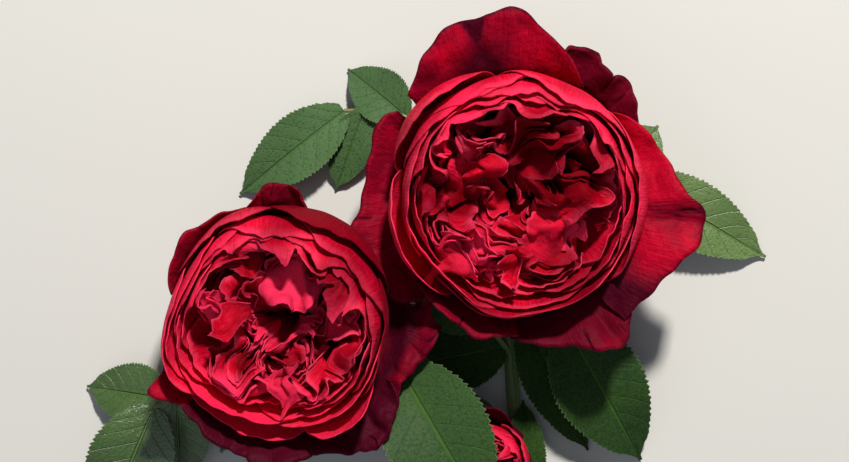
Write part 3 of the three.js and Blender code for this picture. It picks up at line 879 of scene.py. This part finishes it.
def petal_velvet(name, colours, through_colour, through_share, sheen):
    """Velvety petal: a soft pink sheen over the crimson, and a little light that comes through."""
    material, shader = painted(name, surface, colours, 0.65, 0.0006, 0.55, 0.06)
    shader.inputs["Sheen Weight"].default_value = sheen
    shader.inputs["Sheen Roughness"].default_value = 0.4
    shader.inputs["Sheen Tint"].default_value = (1, 0.1, 0.26, 1)
    tree = material.node_tree
    through = tree.nodes.new("ShaderNodeBsdfTranslucent")
    through.inputs["Color"].default_value = (*through_colour, 1)
    mix = tree.nodes.new("ShaderNodeMixShader")
    mix.inputs[0].default_value = through_share
    tree.links.new(shader.outputs[0], mix.inputs[1])
    tree.links.new(through.outputs[0], mix.inputs[2])
    tree.links.new(mix.outputs[0], tree.nodes["Material Output"].inputs["Surface"])
    return material


cup_velvet = petal_velvet(
    "cup_velvet", ((0.72, 0.003, 0.032), (0.95, 0.05, 0.13), (0.2, 0, 0.008), (1, 0.022, 0.095)),
    (0.7, 0.004, 0.018), 0.2, 0.04)
heart_velvet = petal_velvet(
    "heart_velvet", ((0.68, 0.001, 0.02), (0.9, 0.06, 0.15), (0.2, 0, 0.005), (0.95, 0.035, 0.125)),
    (0.65, 0.003, 0.012), 0.24, 0.04)
guard_velvet = petal_velvet(
    "guard_velvet", ((0.42, 0.001, 0.02), (0.02, 0.001, 0.006), (0.06, 0.001, 0.01), (0.62, 0.002, 0.024)),
    (0.4, 0.002, 0.008), 0.14, 0.05)

# In the petal tables, dark deepens a petal's tint when positive and pales it when negative. It is partly
# the petal's own deeper tone, partly painted shade where the petal lies in shadow and painted light where
# it lies in the sun.
WRAP_KEYS = ("toward", "half_span", "spread", "stand", "rise", "roll", "drop", "dark")
TONGUE_KEYS = ("base", "tip", "half_width", "arch", "droop", "fold", "phase", "dark", "crinkled")
PLAIN_GUARD = {
    "dark": 0.2, "crinkled": 0.15, "held": 0.62, "wave": 1, "rolled": 1, "light_and_shade_spots": [], "tuck": (0, 0, 0.7),
}
RIGHT_PETALS = {
    "seed": 16, "waves": 16, "first": 118, "hollows": [(1, 11, 12, 0.3), (-13, -3, 7, 0.45)],
    "rise_more": 0.04, "lit_side": 100, "lit_share": 0.12, "cup_shade": -0.1, "heart_shade": 0,
    "cup_petals": 24, "heart_rings": 10, "crumple": 9,
    # Painted shade where positive and painted light where negative: spots given by place, width and amount
    # on the bloom's own axes.
    "painted_light_patches": [
        (6, 18, 14, 0.8), (22, 6, 9, 0.7), (-22, -4, 8, 1.4), (-31, 2, 5, 1), (8, -1, 5, 0.7),
        (7, -22, 7, 0.8), (20, -31, 9, 0.7), (-8, -36, 8, 0.6), (-17, 16, 4, 0.4), (-19, 23, 6, -1),
        (22, 23, 6, -1), (-2, 32, 7, -0.9), (-16, 9, 4, -0.8), (-33, -4, 4, -0.9), (-24, -17, 6, -1.2),
        (-10, -16, 5, -0.7), (-35, -20, 6, -0.8), (18, -14, 5, -0.7), (-10, -25, 5, -0.6),
        (-17, -5, 4, 1), (-6, 37, 6, 0.6), (-19, 34, 6, -0.8), (2, 27, 5, 0.5), (-16, -35, 6, 0.6),
        (20, 0, 5, 0.5), (11, -12, 6, -0.6), (34, -2, 9, -1), (24, -10, 5, -0.8), (-12, -28, 9, -0.7),
    ],
    "wraps": [
        (136, 38, 1.01, 0.11, 0.92, 0, 0.45, 0.35), (62, 40, 1.01, 0, 0.96, 0, 0.4, 0),
        (-2, 46, 1.03, 0, 0.96, 0, 0.3, 0.2), (-82, 52, 0.95, 0, 1, 0.2, 0.3, 0.25),
        (204, 36, 1.02, 0.06, 0.97, 0, 0.3, -0.1), (112, 36, 0.99, 0, 0.96, 0, 0.4, 0),
    ],
    "tongues": [
        ((47.5, -9, 46), (34, 4, 55), 8.5, 3, 2.5, 0.8, 1, -0.1, 0.5),
        ((13, 14, 45), (20, 26, 52), 6, 2, -1, 1.6, 3, 0, 1),
        ((8, 8, 50), (-1, 8.5, 55), 3.6, 1, 0.5, 0.6, 5, -0.1, 0.6),
        ((29, -4, 47), (27.5, -18, 54), 4.5, 2, -1, 1, 2, 0, 1),
        ((3, -17, 46), (13, -1, 54), 5, 2, 1.5, 1.4, 3, -0.3, 1),
    ],
    "guards": [
        {"margin": [(-5.3, 44, 52), (-1.5, 54.4, 54), (6.3, 65.4, 56), (21.2, 70, 56), (29, 72.9, 57),
                    (37.5, 66.5, 56), (48.8, 55.1, 54), (51.7, 46.7, 52)],
         "creases": [(-0.305, 0.33, 2, 0.05), (-0.055, -0.33, 2, 0.04), (0.05, 0, 1.4, 0.03)],
         "tuck": (-0.18, 0.12, 0.7), "rolled": 0.5, "dark": 0.25, "light_and_shade_spots": [
             (-0.17, 0.2, 0.75, 0.2, 0.3), (-0.45, 0.14, 0.8, 0.1, -0.7), (-0.8, 0.3, 0.8, 0.4, 0.3),
             (0.45, 0.35, 0.75, 0.2, -0.4), (-0.2, 0.4, 0.5, 0.2, 0.9)]},
        {"margin": [(45, 58, 47), (47.8, 60.2, 47), (55.7, 58.8, 46), (61.3, 51.9, 47),
                    (66.9, 49.6, 46), (70.5, 40.8, 47), (70.2, 34, 47)],
         "creases": [(-0.4, 0, 1.6, 0.08), (0, 0, 2, 0.06), (0.4, 0, 1.6, 0.06)], "rolled": 1.2,
         "dark": 0.8, "crinkled": 0.35},
        {"margin": [(61, 39, 50), (70.2, 34.8, 52), (79, 24.1, 53), (85.5, 12, 54), (90.7, 8.1, 54),
                    (89.4, -4.6, 53), (82.9, -10.7, 52), (74.4, -20.2, 51), (66, -30, 48)],
         "creases": [(0.1, 0, 4.5, 0.1), (-0.5, 0, 1.5, 0.1)], "wave": 1.4, "rolled": 0.5, "dark": 0,
         "held": 0.8, "light_and_shade_spots": [
             (1, 0.42, 0.8, 0.6, 1.5), (0.02, 0.1, 0.8, 0.5, 0.6), (-0.65, 0.35, 0.6, 0.5, -0.7),
             (0.42, 0.22, 0.7, 0.4, -0.4)]},
        {"margin": [(69, -22, 46), (67.9, -30, 47), (66.2, -38.1, 48), (57, -38.9, 49),
                    (47.8, -38.1, 47), (38, -37.8, 46), (28, -35.5, 46)],
         "creases": [(-0.35, 0, 3, 0.1)], "rolled": 0.6, "dark": 0.85,
         "light_and_shade_spots": [(-0.25, 0.25, 0.98, 0.12, -0.35)]},
        {"margin": [(-3, -17, 46), (5.1, -26.5, 48), (11.3, -31.5, 49), (16.9, -35.4, 49),
                    (23.8, -34.9, 49), (31, -34.4, 48)],
         "creases": [(0, 0, 1.5, 0.2)], "wave": 0.8, "rolled": 0.6, "dark": 0.55},
        {"margin": [(-8, 40, 40), (-15.1, 37.2, 40), (-18.4, 25.3, 40), (-21.1, 10, 39), (-25.4, -3.7, 38),
                    (-20.1, -9.3, 39), (-12.1, -19.9, 41), (-7.8, -24.6, 42), (-1.5, -23, 42)],
         "creases": [(-0.2, 0, 1.6, 0.12), (0.35, 0, 2.4, 0.1)], "wave": 1.2, "dark": 0.5},
    ],
}
LEFT_PETALS = {
    "seed": 35, "waves": 22, "first": 40, "hollows": [(7, -3, 9, 0.35)],
    "rise_more": 0.01, "lit_side": 235, "lit_share": 0.5, "cup_shade": -0.05, "heart_shade": -0.28,
    "cup_petals": 22, "heart_rings": 10, "crumple": 7,
    # Painted shade where positive and painted light where negative: spots given by place, width and amount
    # on the bloom's own axes.
    "painted_light_patches": [
        (-9, 30, 8, -0.7), (-23, 24, 7, -0.7), (10, 24, 6, -0.6), (-22, 3, 8, -1), (4, 2, 4, -0.8),
        (25, 3, 5, -0.9), (15, -5, 5, -0.8), (-8, -6, 5, -0.8), (-22, -25, 8, -1.2), (-11, -31, 7, -1.2),
        (-2, -24, 5, -0.9), (11, -27, 8, -0.8), (28, -17, 7, -0.6), (-13, 13, 6, 0.8), (-3, -1, 5, 0.7),
        (-27, -6, 5, 1.2), (-13, -12, 7, 1.2), (3, -15, 6, 0.6), (21, -11, 5, 0.7), (22, 15, 6, 0.4),
        (-26, 5, 6, -0.8), (4, -5, 5, -0.8), (-2, 32, 7, 0.5), (-15, -14, 4, 0.8),
    ],
    "wraps": [
        (58, 46, 1.02, 0.07, 0.9, 0, 0.4, 0.85), (125, 40, 1.04, 0, 0.9, 0, 0.4, 0.55),
        (190, 44, 1.01, 0, 1.02, 0, 0.3, 0.25), (243, 46, 1.13, 0, 0.86, 0.1, 0.3, 0),
        (-8, 40, 1, 0, 0.9, 0, 0.3, 0.8), (-54, 27, 1.02, 0.07, 0.97, 0, 0.3, -0.2),
    ],
    "tongues": [
        ((-46, -8, 49), (-41.5, -25.5, 56), 9.5, 3, 2, 2, 4, -0.85, 1),
        ((-52, -8, 49), (-66, -13, 56), 5, 2, -1, 1, 2, 0.3, 1),
        ((-59, -26, 50), (-68, -32, 56), 4.5, 2, -1, 1.6, 2.4, 0.1, 1.2),
        ((-47, -44, 46), (-49.5, -56.5, 53), 6, 2.5, 1, 1.6, 5, -0.6, 1.3),
        ((-22, -13, 47), (-33, -18, 54), 7, 2, -1, 1.2, 3, -0.3, 1),
    ],
    "guards": [
        {"margin": [(-60, 3, 49), (-55, 10.8, 50), (-49.5, 15.4, 51), (-43.9, 13.4, 51), (-40, 8, 50),
                    (-39, 3, 49)],
         "creases": [(-0.3, 0, 2, 0.1), (0.2, 0, 2.5, 0.08)], "wave": 0.6, "dark": 0.5, "crinkled": 0.6},
        {"margin": [(-85, -21, 46), (-83.9, -12.1, 47), (-81.2, -4.3, 47), (-73.7, 2.6, 48),
                    (-64.2, 6.2, 48), (-56.6, 6.9, 48), (-50, 4, 47)],
         "creases": [(0.1, 0, 1.5, 0.15)], "dark": 0.35, "crinkled": 0.3},
        {"margin": [(-84, -28, 45), (-85.2, -37.4, 45), (-86.5, -45.6, 45), (-91.4, -53.2, 44),
                    (-85.8, -56.4, 44), (-79, -58, 44)],
         "creases": [(0.2, 0, 1.2, 0.15)], "wave": 0.6, "rolled": 0.6, "dark": 0.1},
        {"margin": [(-80, -58, 44), (-72, -68.6, 45), (-64.5, -73.5, 45), (-54, -77.8, 46),
                    (-44.1, -77.1, 46), (-34, -72, 45)],
         "creases": [(-0.2, 0, 1.6, 0.12), (0.3, 0, 1.4, 0.12)], "dark": 1.1},
        {"margin": [(-38, -71, 45), (-35.7, -72.8, 46), (-26.1, -74, 46), (-17.3, -72.6, 46),
                    (-12, -67.4, 45), (-9.4, -59.5, 45), (-10.7, -50, 44)],
         "creases": [(-0.3, 0, 1.5, 0.1), (0.2, 0, 2.5, 0.12)], "dark": 1, "crinkled": 0.4},
        {"margin": [(-15, -14, 38), (-9, -17, 39), (-2.8, -21.6, 40), (1.8, -27.9, 40), (4.5, -33.9, 41),
                    (0.5, -38.8, 41), (-2.8, -44.8, 41), (-9.1, -54.1, 42), (-16.4, -59.7, 42)],
         "creases": [
             (-0.5, 0.1, 2, 0.08), (-0.1, -0.1, 2.4, 0.06), (0.2, 0, 1.6, 0.06), (0.5, 0, 2.4, 0.08)],
         "dark": 0.6, "crinkled": 0.8, "light_and_shade_spots": [(0, 1.5, 0.45, 0.2, 0.6)]},
    ],
}
LOW_PETALS = {
    "seed": 3, "waves": 3, "first": 20, "hollows": [(0, 0, 5, 0.2)],
    "rise_more": 0, "lit_side": 90, "lit_share": 0, "cup_shade": 0.2, "heart_shade": 0,
    "cup_petals": 9, "heart_rings": 5, "crumple": 3.5,
    # Painted shade where positive and painted light where negative: a spot given by place, width and amount
    # on the bloom's own axes.
    "painted_light_patches": [(6, 9, 5, -1)],
    "wraps": [
        (60, 60, 0.9, 0, 1, 0, 0.3, -0.5), (180, 60, 1.04, 0, 1.04, 0, 0.3, -0.2),
        (-60, 60, 1.02, 0, 1.06, 0, 0.3, 0.4),
    ],
    "tongues": [],
    "guards": [
        {"fan": (-20, 22, 12, 14), "creases": [(0.2, 0, 0.8, 0.2)], "wave": 0.5, "rolled": 0.6,
         "light_and_shade_spots": [(1, 0.9, 0.8, 0.8, 0.9)]},
        {"fan": (215, 22, 12, 13), "creases": [(0, 0, 0.8, 0.2)], "wave": 0.5, "rolled": 0.6},
        {"fan": (78, 22, 12, 14), "creases": [(-0.2, 0, 0.8, 0.2)], "wave": 0.5, "rolled": 0.6, "dark": 1},
    ],
}
BLOOM_PETALS = {"right": RIGHT_PETALS, "left": LEFT_PETALS, "low": LOW_PETALS}

for side, growth in BLOOM_PETALS.items():
    bloom = {**BLOOM_STANCE[side], **growth}
    tongues = [dict(zip(TONGUE_KEYS, entries)) for entries in bloom["tongues"]]
    bloom["ruffle_waves"] = petal_waves(bloom["waves"], RUFFLE_PUSH, **RUFFLE)
    bloom["crumple_waves"] = petal_waves(bloom["waves"] + 1, bloom["crumple"], **CRUMPLE)
    bloom["crinkle_waves"] = petal_waves(bloom["waves"] + 2, bloom["crumple"] * CRINKLE_SHARE, **CRINKLE)
    draw = np.random.default_rng(bloom["seed"])

    guards = []
    layers = 2 + len(bloom["guards"]) % 2
    for number, shape in enumerate(bloom["guards"]):
        layer = LAYER_GAP * (number % layers)
        petal = {**PLAIN_GUARD, **shape, "layer": layer, "phase": draw.uniform(0, 6)}
        points = guard_petal(bloom, petal)
        loose = petal["crinkled"] * smooth(guard_along, 0.45, 0.9)
        points = drift(points, bloom, "crinkle_waves", loose)
        # Painted shade deepens each guard in its tucked pleat. Its spots add painted shade where positive
        # and painted light where negative.
        shade = petal["dark"] + TUCK_SHADE * tucked(petal["tuck"])
        for where, width, along, length, amount in petal["light_and_shade_spots"]:
            spot = ((guard_across - where) / width) ** 2 + ((guard_along - along) / length) ** 2
            shade += amount * np.exp(-spot)
        guards.append(shaped_copy(guard_blank, from_bloom(points, bloom), shade))

    cup_petals = [{"frill": 0.05, **dict(zip(WRAP_KEYS, entries))} for entries in bloom["wraps"]]
    for number in range(bloom["cup_petals"]):
        way_in = number / bloom["cup_petals"]
        toward = bloom["first"] + GOLDEN_ANGLE * number + draw.uniform(-6, 6)
        stepped = (0.02 + 0.1 * math.sin(math.radians(toward))) * way_in
        cup_petals.append({
            "toward": toward, "half_span": 46 - 10 * way_in, "spread": 0.98 - 0.17 * way_in, "stand": 0,
            "rise": 0.95 + stepped + draw.uniform(-0.06, 0.03), "roll": draw.uniform(-0.2, 0.4),
            "frill": 0.06 + 0.25 * way_in, "drop": draw.uniform(0.15, 0.4),
            # Inner petals are deepened with painted shade, as they stand deeper in the cup.
            "dark": draw.uniform(-0.2, 0.15) + 0.2 * way_in,
        })
    cups = []
    for petal in cup_petals:
        petal["rise"] += bloom["rise_more"] * math.sin(math.radians(petal["toward"]))
        points = cup_petal(bloom, {**petal, "notch": draw.uniform(-0.5, 0.5), "phase": draw.uniform(0, 6)})
        points = settled(points, bloom)
        sunny = bloom["lit_share"] * math.cos(math.radians(petal["toward"] - bloom["lit_side"]))
        sunny -= bloom["cup_shade"]
        cups.append(shaped_copy(petal_blank, points, painted_light_tint(points, bloom, petal["dark"] - sunny)))

    hearts = []
    for ring in range(bloom["heart_rings"]):
        share = 0.75 * (1 - ring / bloom["heart_rings"]) + 0.05
        petals = QUARTERS if share > INNER_SHARE else INNER_PETALS
        for place in range(petals):
            toward = bloom["first"] + 360 / petals * (place + 0.5) + draw.uniform(-16, 16)
            points = settled(heart_petal(bloom, {
                "ring": share, "toward": toward, "half_span": math.pi / petals * draw.uniform(0.65, 1.1),
                "top": 0.92 - 0.06 * (1 - share) + draw.uniform(-0.2, 0.05),
                "notch": draw.uniform(-0.6, 0.6), "phase": draw.uniform(0, 6),
                "fold": draw.uniform(0.2, 0.8), "folds": draw.uniform(1.5, 3), "lean": draw.uniform(0, 0.8),
            }), bloom, tongues)
            sunny = SUNNY_SHARE * math.cos(math.radians(toward - SUNNY_SIDE))
            tint = draw.uniform(-0.15, 0.4) + bloom["heart_shade"] - sunny
            hearts.append(shaped_copy(petal_blank, points, painted_light_tint(points, bloom, tint)))
    for petal in tongues:
        points = in_bloom(tongue_petal(petal), bloom)
        loose = np.full(len(points), petal["crinkled"])
        points = drift(points, bloom, "crinkle_waves", loose)
        hearts.append(shaped_copy(petal_blank, from_bloom(points, bloom), petal["dark"]))

    for pieces, kind, velvet in (
        (guards, "guard", guard_velvet), (cups, "cup", cup_velvet), (hearts, "heart", heart_velvet),
    ):
        whole = joined(pieces, f"{side}_{kind}_petals")
        thicken(whole, PETAL_THICKNESS)
        finish_piece(whole, velvet, "petal", f"bloom_{side}")

for blank in (tube_blank, sepal_blank, leaflet_blank, petal_blank, guard_blank):
    bpy.data.objects.remove(blank)
